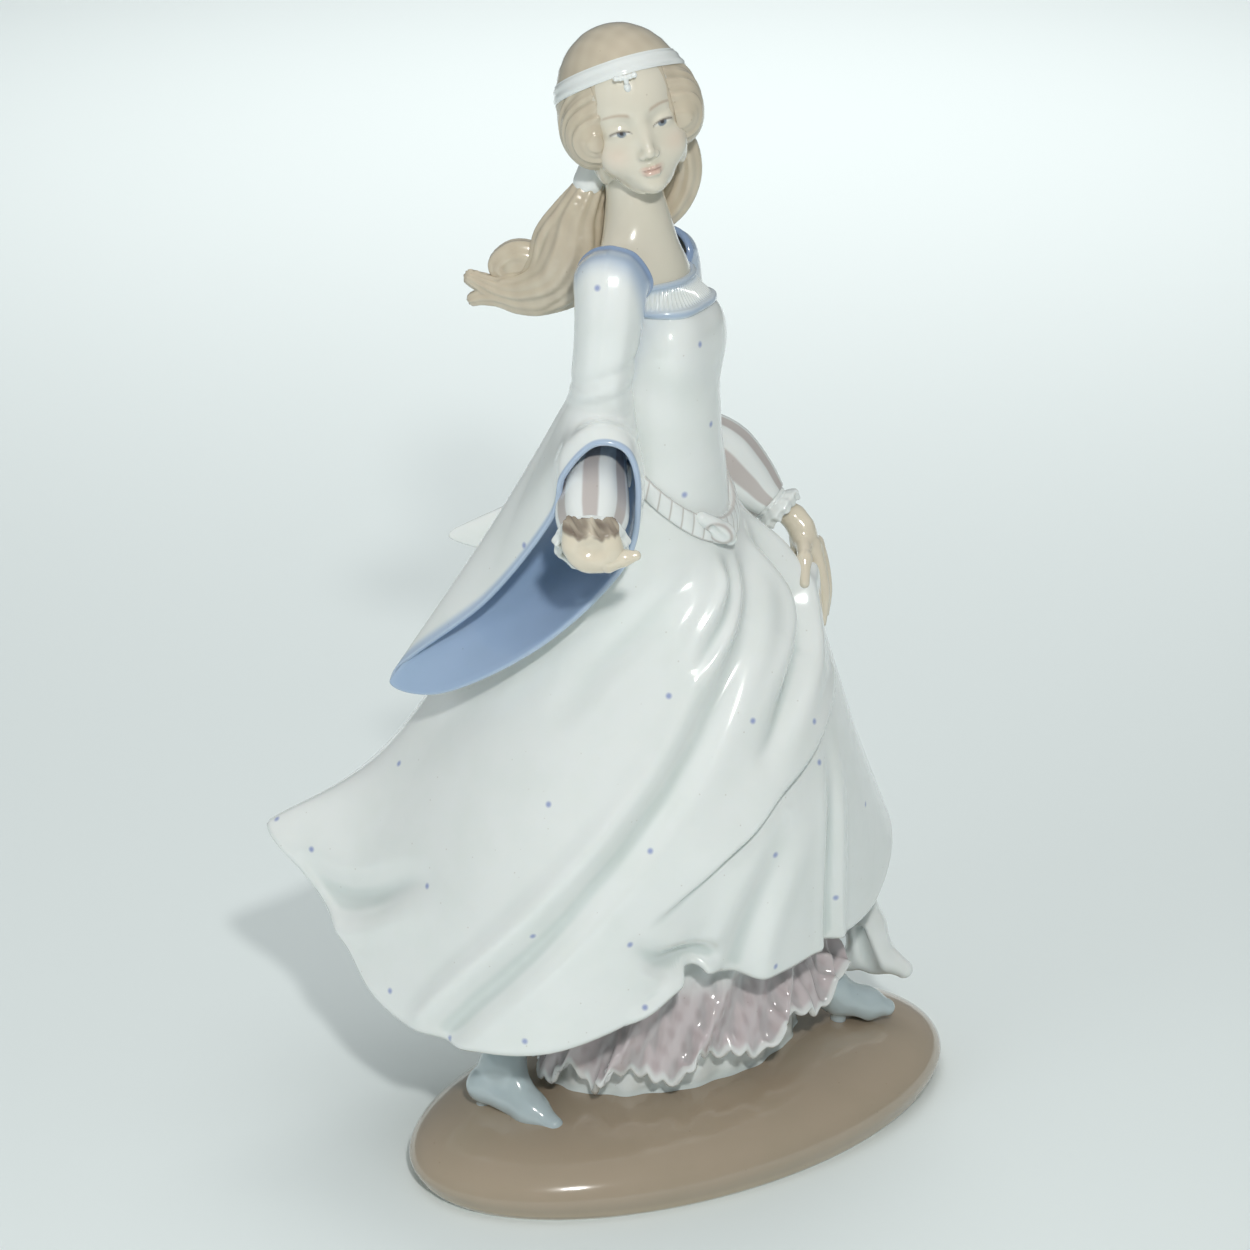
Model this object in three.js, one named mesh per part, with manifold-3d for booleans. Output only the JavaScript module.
// A glazed porcelain figurine: a young woman in a long medieval gown who strides along an oval base.
//
// Slip-cast figurines like this one are made in many moulds. The pieces are luted together with slip
// before the firing, so nothing moves, and each cast or hand-made piece is its own mesh here.
//
// Units are millimetres and +Z is up. The figure is laid out facing its display side, with +X to the
// viewer's right and +Y away from the viewer. The whole figure is then turned on the base, so that the
// base's long axis is X. The origin is the centre of the base's flat foot.
import * as THREE from "three";
import { mergeVertices } from "three/addons/utils/BufferGeometryUtils.js";
import Module from "manifold-3d";

// ---- driving dimensions ----
const BASE_LENGTH = 139;
const BASE_WIDTH = 78;
const BASE_HEIGHT = 17;
const FIGURE_TURN = -32.4; // degrees, from the display side to the base's long axis
const TORSO_FACING = -24; // degrees, the way the chest points, from +X
const HEAD_FACING = -78; // degrees, the way the face points, from +X
const HEAD_TILT = 14; // degrees, the head leans to the viewer's left
const SKIRT_WALL = 3;
const SLEEVE_WALL = 1.8;
const BASE_WALL = 4.5;
const VENT_RADIUS = 3.5;
const GAP = 0.3; // between neighbours, where the slip joint is

// ---- glaze colours ----
const WHITE = 0xe6ece9;
const BLUE = 0x8aa3c6;
const SKIN = 0xdccfb6;
const HAIR = 0xb09a7e;
const MAUVE = 0xb9a9ad;
const TAN = 0x9f8d72;
const SHOE_GREY = 0xa9b9bb;

const DEGREE = Math.PI / 180;
const wasm = await Module();
wasm.setup();

const vec = (x, y, z) => new THREE.Vector3(x, y, z);
const flat = (degrees) => vec(Math.cos(degrees * DEGREE), Math.sin(degrees * DEGREE), 0);
const chestward = flat(TORSO_FACING);
const leftward = flat(TORSO_FACING + 90);
const faceward = flat(HEAD_FACING);

// ---- shape helpers ----

// A closed body over rings of points. Both ends are capped, or the last ring joins the first.
function skin(rings, looped = false) {
  const around = rings[0].length;
  const points = rings.flat();
  const faces = [];
  const quad = (a, b, c, d) => faces.push(a, b, c, a, c, d);
  const steps = looped ? rings.length : rings.length - 1;
  for (let i = 0; i < steps; i++) {
    const low = i * around;
    const high = ((i + 1) % rings.length) * around;
    for (let j = 0; j < around; j++) {
      const k = (j + 1) % around;
      quad(low + j, low + k, high + k, high + j);
    }
  }
  if (!looped) {
    for (const [ring, first] of [[rings[0], 0], [rings.at(-1), points.length - around]]) {
      const middle = ring.reduce((sum, p) => sum.add(p), vec(0, 0, 0)).divideScalar(around);
      points.push(middle);
      for (let j = 0; j < around; j++) {
        const k = (j + 1) % around;
        if (first === 0) faces.push(points.length - 1, k, j);
        else faces.push(points.length - 1, first + j, first + k);
      }
    }
  }
  return new THREE.BufferGeometry().setFromPoints(points).setIndex(faces);
}

// A solid along a path of stations [x, y, z, width, depth], whose sections are ellipses.
// Width is measured along side, and depth across both side and the path.
function limb(stations, side, grow = 0, around = 14) {
  const places = stations.map((s) => vec(s[0], s[1], s[2]));
  const start = places[0].clone().sub(places[1]).setLength(grow);
  const end = places.at(-1).clone().sub(places.at(-2)).setLength(grow);
  places[0].add(start);
  places.at(-1).add(end);
  const rings = places.map((place, i) => {
    const before = places[Math.max(i - 1, 0)];
    const after = places[Math.min(i + 1, places.length - 1)];
    const along = after.clone().sub(before).normalize();
    const across = side.clone().addScaledVector(along, -side.dot(along)).normalize();
    const third = along.clone().cross(across);
    return Array.from({ length: around }, (_, j) => {
      const angle = (2 * Math.PI * j) / around;
      return place.clone()
        .addScaledVector(across, Math.cos(angle) * (stations[i][3] / 2 + grow))
        .addScaledVector(third, Math.sin(angle) * (stations[i][4] / 2 + grow));
    });
  });
  return skin(rings);
}

// An ellipsoid with its own width, depth and height, turned to face a direction and leaned over.
function ellipsoid(centre, size, facing, lean = 0, grow = 0) {
  const geometry = new THREE.SphereGeometry(1, 18, 12);
  geometry.scale(size[0] / 2 + grow, size[2] / 2 + grow, size[1] / 2 + grow);
  geometry.rotateX(90 * DEGREE);
  geometry.rotateZ((facing + 90) * DEGREE);
  geometry.applyMatrix4(new THREE.Matrix4().makeRotationAxis(vec(0, 1, 0), -lean * DEGREE));
  return geometry.translate(...centre);
}

// An open shell over a surface at(u, v), closed in u, with its wall inside the surface.
function shell(at, wall, grow = 0, around = 40, down = 7) {
  const step = 1e-3;
  const normal = (u, v) => {
    const du = at(u + step, v).sub(at(u - step, v));
    const dv = at(u, Math.min(v + step, 1)).sub(at(u, Math.max(v - step, 0)));
    return dv.cross(du).normalize();
  };
  const ring = (v, depth) =>
    Array.from({ length: around }, (_, j) => {
      const u = j / around;
      const place = at(u, v).addScaledVector(normal(u, v), -depth);
      if (v > 0 && v < 1) return place;
      const outward = at(u, v).sub(at(u, v === 0 ? step : 1 - step)).setLength(grow);
      return place.add(outward);
    });
  const outside = Array.from({ length: down + 1 }, (_, i) => ring(i / down, -grow));
  const inside = Array.from({ length: down + 1 }, (_, i) => ring(1 - i / down, wall + grow));
  return skin([...outside, ...inside].reverse(), true);
}

// The surface between closed curves, the first at v 0 and the last at v 1.
function between(curves) {
  const closed = curves.map(
    (points) => new THREE.CatmullRomCurve3(points.map((p) => vec(...p)), true, "centripetal"),
  );
  return (u, v) => {
    const places = closed.map((curve) => curve.getPoint(((u % 1) + 1) % 1));
    return new THREE.CatmullRomCurve3(places, false, "centripetal").getPoint(v);
  };
}

function solidOf(geometry) {
  const bare = geometry.clone();
  bare.deleteAttribute("normal");
  bare.deleteAttribute("uv");
  const merged = mergeVertices(bare, 1e-4);
  const solid = new wasm.Manifold(
    new wasm.Mesh({
      numProp: 3,
      vertProperties: merged.attributes.position.array,
      triVerts: new Uint32Array(merged.index.array),
    }),
  );
  if (solid.volume() < 0) throw new Error("a piece is inside out");
  return solid;
}

// ---- the base: an oval mound, cast hollow, with a flat foot and a vent hole ----

// Stations are [height, share of the length and width that is left].
const BASE_PROFILE = [
  [0, 0.97],
  [1.5, 0.985],
  [5, 1],
  [8.5, 0.965],
  [11.5, 0.88],
  [14, 0.74],
  [15.8, 0.56],
  [16.7, 0.36],
  [BASE_HEIGHT, 0.14],
];

function mound(inset, floor, around = 36) {
  const rings = BASE_PROFILE.map(([height, share]) =>
    Array.from({ length: around }, (_, j) => {
      const angle = (2 * Math.PI * j) / around;
      return vec(
        Math.cos(angle) * (BASE_LENGTH / 2) * share * (1 - inset / (BASE_LENGTH / 2)),
        Math.sin(angle) * (BASE_WIDTH / 2) * share * (1 - inset / (BASE_WIDTH / 2)),
        Math.max(floor, height - inset),
      );
    }),
  ).filter((ring, i, all) => i === 0 || ring[0].z > all[i - 1][0].z || floor === 0);
  return solidOf(skin(rings));
}

function baseSolid() {
  const vent = new THREE.CylinderGeometry(VENT_RADIUS, VENT_RADIUS, BASE_WALL * 3, 20);
  vent.rotateX(90 * DEGREE);
  vent.translate(BASE_LENGTH / 4, 0, BASE_WALL / 2);
  return mound(0, 0).subtract(mound(BASE_WALL, BASE_WALL)).subtract(solidOf(vent));
}

// ---- the gown's skirt, petticoat and boots ----

// The belt line: it dips towards the belly, as a girdle does. It starts at the viewer's left.
function beltLine(points, width, depth, centre, drop) {
  return Array.from({ length: points }, (_, j) => {
    const angle = (2 * Math.PI * j) / points + Math.PI - TORSO_FACING * DEGREE;
    const ahead = Math.cos(angle);
    const p = vec(...centre)
      .addScaledVector(chestward, (ahead * depth) / 2)
      .addScaledVector(leftward, (Math.sin(angle) * width) / 2);
    p.z -= ahead > 0 ? drop * ahead : drop * 0.35 * ahead;
    return [p.x, p.y, p.z];
  });
}

const SKIRT_TOP = beltLine(17, 31.5, 28, [-3.4, 1.8, 158.5], 14);
const SKIRT_HIP = [
  [-44, 12, 122], [-40, 2, 121], [-34, -9, 120], [-24, -18, 119], [-12, -23, 119], [-2, -24, 120],
  [8, -21, 121], [16, -15, 122], [22, -7, 124], [26, 3, 126], [27, 13, 127], [22, 22, 126],
  [12, 28, 124], [-1, 30, 123], [-15, 30, 122], [-28, 27, 122], [-38, 21, 122],
];
const SKIRT_KNEE = [
  [-70, 13, 84.5], [-63, -3, 82], [-54, -17, 79], [-42, -29, 77], [-26, -37, 77], [-10, -36, 79],
  [5, -31, 81], [19, -24, 83], [31, -12, 85], [38, 2, 87], [40, 16, 88], [37, 29, 88],
  [24, 39, 86], [6, 43, 84], [-16, 42, 82], [-40, 37, 84], [-60, 27, 86],
];
const SKIRT_HEM = [
  [-95, 12, 69], [-80, -4, 54], [-69, -19, 40], [-52, -34, 37], [-31, -42, 39], [-11, -38, 45],
  [3, -28, 50], [19, -23, 48], [33, -9, 49], [44, 8, 50], [49, 22, 59], [46, 36, 63],
  [30, 45, 56], [8, 49, 48], [-20, 47, 44], [-50, 41, 47], [-78, 28, 58],
];
const skirtAt = between([SKIRT_TOP, SKIRT_HIP, SKIRT_KNEE, SKIRT_HEM]);

// A tier of the petticoat, level at the top and waved along its edge.
function tierAt(top, bottom, waves, depth) {
  return (u, v) => {
    const angle = -2 * Math.PI * u;
    const wave = depth * v * Math.cos(waves * angle);
    const mix = (a, b) => a + (b - a) * v;
    const along = flat(-FIGURE_TURN);
    const across = flat(-FIGURE_TURN + 90);
    return vec(mix(top[0], bottom[0]), mix(top[1], bottom[1]), mix(top[2], bottom[2]))
      .addScaledVector(along, Math.cos(angle) * (mix(top[3], bottom[3]) + wave))
      .addScaledVector(across, Math.sin(angle) * (mix(top[4], bottom[4]) + wave));
  };
}

const ruffleAt = tierAt([-3, 6, 56, 33, 25], [-1, 6, 27, 42, 29], 11, 1.6);
const PETTICOAT = [
  [-8, 7, 110, 62, 52],
  [-4, 6, 80, 60, 46],
  [-3, 6, 54, 58, 42],
  [-3, 5, 30, 64, 42],
  [-3, 3, 12, 66, 38],
];

// Each boot: the sole's heel, the arch and toe, and the shaft up the shin.
function boot(heel, toe, shaft, grow) {
  const foot = limb(
    [
      [...heel, 7, 8],
      [(heel[0] * 2 + toe[0]) / 3, (heel[1] * 2 + toe[1]) / 3, (heel[2] * 2 + toe[2]) / 3, 8, 9],
      [(heel[0] + toe[0] * 2) / 3, (heel[1] + toe[1] * 2) / 3, (heel[2] + toe[2] * 2) / 3, 8.5, 7],
      [...toe, 4, 3.5],
    ],
    flat(-FIGURE_TURN + 90),
    grow,
  );
  const shin = limb([[heel[0], heel[1], heel[2] + 1, 8, 8], [...shaft, 12, 12]], chestward, grow);
  return solidOf(foot).add(solidOf(shin));
}

// ---- the body ----

const BODICE = [
  [-3.6, 1.8, 146, 28, 25],
  [-4.4, 1, 157, 27.5, 25],
  [-5.2, 0.5, 168, 27, 24],
  [-6.4, 0, 180, 28, 25],
  [-6.4, 0, 190, 30, 26],
  [-7, 0, 199, 30, 22],
  [-8, 0, 205, 26, 17],
];
const CHEST = [
  [-8, 0, 205.6, 24, 15],
  [-9, 0, 208, 17, 12],
  [-10, 0, 212, 12.4, 12],
  [-11, 0, 217, 11.6, 11.6],
  [-12, -1, 223, 11.6, 12],
];
const HEAD_CENTRE = [-12.6, -2, 237];
const HEAD_SIZE = [23, 26, 34];
const HAIR_SIZE = [30, 34, 37];
const HAIR_SETBACK = 2.4; // from the head's centre, away from the face
const BAND_HEIGHT = 7.5; // above the head's centre
const BAND_TILT = 20; // degrees, the band is worn higher on the forehead than at the nape
const HALF_BAND = 1.6;
const OPENING_SIZE = [20, 27, 36]; // of the egg that the hair leaves open for the face
const OPENING_AHEAD = 16; // its centre, from the head's centre
const OPENING_DROP = 6;
const leanedUp = vec(-Math.sin(HEAD_TILT * DEGREE), 0, Math.cos(HEAD_TILT * DEGREE));

// The part of a solid above or below the headband's middle, from a clear distance on.
function halfOf(solid, above, clear) {
  const block = new THREE.BoxGeometry(90, 90, 90);
  block.translate(0, 0, (above ? 1 : -1) * (45 + clear));
  block.applyMatrix4(new THREE.Matrix4().makeRotationAxis(flat(HEAD_FACING + 90), -BAND_TILT * DEGREE));
  block.applyMatrix4(new THREE.Matrix4().makeRotationAxis(vec(0, 1, 0), -HEAD_TILT * DEGREE));
  const shift = vec(...HEAD_CENTRE).addScaledVector(leanedUp, BAND_HEIGHT);
  return solid.intersect(solidOf(block.translate(shift.x, shift.y, shift.z)));
}

function hairSolid(grow) {
  return solidOf(ellipsoid(besideHead(0, -HAIR_SETBACK, 0.6), HAIR_SIZE, HEAD_FACING, HEAD_TILT, grow));
}

// What the hair leaves open for the face.
function faceOpening(grow) {
  const centre = besideHead(0, OPENING_AHEAD, -OPENING_DROP);
  return solidOf(ellipsoid(centre, OPENING_SIZE, HEAD_FACING, HEAD_TILT, -grow));
}

function bandSolid(grow) {
  const larger = HAIR_SIZE.map((side) => side + 1.6);
  const ball = solidOf(ellipsoid(besideHead(0, -HAIR_SETBACK, 0.6), larger, HEAD_FACING, HEAD_TILT, grow));
  return halfOf(halfOf(ball, true, -HALF_BAND - grow), false, -HALF_BAND - grow);
}

// A point beside the head: across is to its right as the viewer sees it, ahead is towards the face.
function besideHead(across, ahead, up) {
  const right = flat(HEAD_FACING + 90);
  return vec(...HEAD_CENTRE)
    .addScaledVector(right, across)
    .addScaledVector(faceward, ahead)
    .addScaledVector(leanedUp, up)
    .toArray();
}

// ---- the sleeves: a trumpet over a striped undersleeve ----

const RIGHT_SLEEVE_TOP = [
  [-27, -12, 176], [-26.5, -15.5, 176.3], [-25, -18.5, 176.8], [-22.5, -20.8, 177.2], [-18.5, -21.6, 177.6],
  [-13.6, -19.4, 176.5], [-11, -13.5, 174], [-13, -8, 172], [-18, -6, 172], [-24, -7, 174],
];
const RIGHT_SLEEVE_MIDDLE = [
  [-43, -8, 147], [-36, -17, 156], [-29, -24, 167], [-25.6, -26.5, 173.2], [-19.5, -27, 177.8],
  [-12.2, -26, 175], [-9.2, -21, 164], [-12.5, -13.5, 148], [-25, -7, 141], [-38, -4.5, 140],
];
const RIGHT_SLEEVE_RIM = [
  [-64.5, -5, 113], [-43.8, -18, 135], [-29.6, -27, 156.5], [-26.8, -29.5, 167.2], [-19.8, -30.5, 175],
  [-12.2, -30.5, 173], [-10, -30, 162], [-13.5, -26, 145.5], [-31, -20, 125.5], [-53, -11, 111],
];
const rightSleeveAt = between([RIGHT_SLEEVE_TOP, RIGHT_SLEEVE_MIDDLE, RIGHT_SLEEVE_RIM]);

// The left trumpet sleeve hangs behind the back and ends in a rounded tip at the viewer's left.
const LEFT_SLEEVE_HANG = [
  [4, 26, 170, 12, 6],
  [-4, 31, 158, 20, 5],
  [-18, 34, 146, 22, 4.5],
  [-34, 32, 138, 16, 4],
  [-47, 27, 135, 9, 3.5],
  [-52.5, 25, 135, 4, 3],
];

// ---- the pieces, in the order in which a later one makes room for an earlier one ----

const X = vec(1, 0, 0);
const Y = vec(0, 1, 0);
const Z = vec(0, 0, 1);
const solidLimb = (stations, side, around) => (grow) => solidOf(limb(stations, side, grow, around));
const solidBall = (centre, size, facing = -90, lean = 0) => (grow) =>
  solidOf(ellipsoid(centre, size, facing, lean, grow));

const PIECES = [
  ["right_boot", SHOE_GREY, (g) => boot([-44, -21, 18.5], [-28, -31, 15], [-38, -14, 42], g)],
  ["left_boot", SHOE_GREY, (g) => boot([38, 15, 18], [50, 18.6, 15], [27, 13, 38], g)],
  ["head", SKIN, solidBall(HEAD_CENTRE, HEAD_SIZE, HEAD_FACING, HEAD_TILT)],
  ["headband", WHITE, bandSolid],
  ["forehead_jewel", WHITE, solidBall(besideHead(-2.6, 13.6, 8.6), [2, 2, 4], HEAD_FACING, HEAD_TILT)],
  ["hair_crown", HAIR, (g) => halfOf(hairSolid(g), true, HALF_BAND + GAP)],
  ["right_hair_wing", HAIR, solidBall(besideHead(-11, 1, -4), [12, 17, 21], HEAD_FACING, HEAD_TILT)],
  ["left_hair_wing", HAIR, solidBall(besideHead(9.5, -1, -2), [11, 17, 21], HEAD_FACING, HEAD_TILT)],
  ["neck_and_chest", SKIN, solidLimb(CHEST, leftward)],
  ["hair_tie", WHITE, solidLimb([[-19.6, 2.6, 225, 6, 6], [-20.8, 2.6, 221, 6.6, 6.6]], Y)],
  ["hair_back", HAIR, (g) => halfOf(hairSolid(g).subtract(faceOpening(g)), false, HALF_BAND + GAP)],
  ["left_hair_lock", HAIR, solidLimb(
    [[-2, 8, 233, 6, 5], [2.4, 9, 226, 7, 5], [1, 9, 217, 7, 5], [-4, 9, 211, 6, 5], [-9, 9, 208, 5, 5]], Y)],
  ["right_shoulder_cap", BLUE, solidLimb(
    [[-18, -12, 211, 13, 9], [-17, -15, 209.5, 16, 13], [-16, -18, 205.6, 16.5, 13.5]], X)],
  ["right_upper_sleeve", WHITE, solidLimb(
    [[-16, -16, 205, 16, 13], [-16, -17, 197, 15, 13], [-18, -17, 186, 13, 13], [-20, -15, 176, 15, 14]], X)],
  ["left_shoulder_cap", BLUE, solidLimb(
    [[-3, 12, 206, 12, 9], [-3, 15, 204, 14, 12], [-3, 18, 200, 14, 12]], X)],
  ["left_upper_sleeve", WHITE, solidLimb(
    [[-3, 18, 199.6, 14, 12], [-2, 21, 190, 14, 12], [-1, 23, 178, 14, 12], [1, 25, 166, 16, 12]], X)],
  ["right_cuff", WHITE, solidLimb([[-20, -33, 154, 15, 14], [-20, -36.5, 152, 15.5, 15]], X)],
  ["right_hand", SKIN, solidLimb(
    [[-20, -37, 152, 10, 8], [-20, -40.5, 153, 12, 6], [-20, -41.5, 157, 12, 5], [-20, -41.5, 161, 12, 4]],
    X)],
  ["right_thumb", SKIN, solidLimb([[-14, -42, 154.4, 4, 4], [-10.6, -43, 155.2, 2.4, 2.6]], Z, 10)],
  ["right_undersleeve", WHITE, solidLimb(
    [[-19, -14, 167, 11, 11], [-19.4, -20, 165, 13, 13], [-20, -26, 161, 14.5, 14.5],
      [-20.2, -31, 157.5, 14.5, 14.5], [-20.3, -33.4, 156, 13, 13]], X)],
  ["left_cuff", WHITE, solidLimb([[20, 22, 143, 8, 9], [23.4, 21.4, 141, 8, 10]], Y)],
  ["left_hand", SKIN, solidLimb(
    [[24, 21, 141, 6, 6.5], [27.2, 19.6, 135, 7, 7], [29.6, 18.4, 128, 6, 6], [31, 17.4, 121, 4, 3.5],
      [31.4, 17, 115.6, 2, 2]], Y)],
  ["left_undersleeve", WHITE, solidLimb(
    [[4, 25, 158, 18, 18], [8, 24.6, 152, 18, 20], [14, 24, 147, 14, 16], [19.2, 22.2, 143.4, 8, 9]], Y)],
  ["gown_skirt", WHITE, (g) => solidOf(shell(skirtAt, SKIRT_WALL, g))],
  ["belt", WHITE, (g) => solidOf(shell(
    between([beltLine(17, 33.5, 30, [-4, 1.2, 162.8], 13), beltLine(17, 35, 31.5, [-3.6, 1.6, 157.6], 13.5)]),
    2.6, g, 32, 2))],
  ["belt_knot", WHITE, solidLimb(
    [[4, -12.6, 151, 4, 4], [7.8, -11, 148, 6, 5], [9.8, -9.2, 145, 4, 4]], Y)],
  ["neckline_trim", WHITE, (g) => solidOf(shell(
    between([beltLine(16, 34, 24, [-6.6, 0, 203], 3), beltLine(16, 37.6, 30, [-6.4, 0, 196.5], 3)]),
    2, g, 30, 2))],
  ["bodice", WHITE, solidLimb(BODICE, leftward, 22)],
  ["right_trumpet_sleeve", WHITE, (g) => solidOf(shell(rightSleeveAt, SLEEVE_WALL, g, 32, 6))],
  ["left_trumpet_sleeve", WHITE, solidLimb(LEFT_SLEEVE_HANG, Z)],
  ["hair_tail", HAIR, solidLimb(
    [[-20, 7, 219, 12, 9], [-25, 8, 212, 19, 12], [-28, 8, 205, 22, 13], [-33, 8, 199, 16, 11],
      [-40, 7, 197, 9, 7], [-47.5, 6, 197.4, 4, 4]], Z)],
  ["hair_curl", HAIR, solidLimb([[-30, 11, 206, 7, 5], [-36, 10, 205.4, 8, 6], [-41, 8.6, 202, 4, 4]], Z)],
  ["petticoat_train", WHITE, solidLimb(
    [[41, 31, 46, 5, 5], [44, 29, 35, 9, 7], [47, 28, 27, 14, 8], [47, 27.5, 22, 15, 6]], X)],
  ["petticoat_ruffle", MAUVE, (g) => solidOf(shell(ruffleAt, 2.4, g, 44, 3))],
  ["petticoat", WHITE, solidLimb(PETTICOAT, flat(-FIGURE_TURN), 30)],
];

// ---- assembly ----

// A cut leaves slivers and crumbs: edges under SLIVER are closed up and the largest body is kept.
const SLIVER = 0.06;
const tidied = (solid) =>
  solid.simplify(SLIVER).decompose().reduce((best, body) => (body.volume() > best.volume() ? body : best));

const asGeometry = (solid) => {
  const { vertProperties, triVerts } = solid.getMesh();
  return new THREE.BufferGeometry()
    .setAttribute("position", new THREE.BufferAttribute(new Float32Array(vertProperties), 3))
    .setIndex(new THREE.BufferAttribute(new Uint32Array(triVerts), 1));
};

const ROUGHNESS = 0.12;
const meshOf = (name, colour, solid) => {
  const material = new THREE.MeshStandardMaterial({ color: colour, roughness: ROUGHNESS, metalness: 0 });
  const mesh = new THREE.Mesh(asGeometry(solid), material);
  mesh.name = name;
  return mesh;
};

const figurine = new THREE.Group();
figurine.add(meshOf("base", TAN, tidied(baseSolid())));

// In the figure's own layout the base is turned the other way, and its joint gap is above it.
const raisedBase = mound(-GAP, 0).rotate([0, 0, -FIGURE_TURN]);
const figure = new THREE.Group();
figure.rotation.z = FIGURE_TURN * DEGREE;
figurine.add(figure);

const earlier = [raisedBase];
for (const [name, colour, make] of PIECES) {
  let solid = make(0);
  for (const neighbour of earlier) solid = solid.subtract(neighbour);
  figure.add(meshOf(name, colour, tidied(solid)));
  earlier.push(make(GAP));
}

export default figurine;
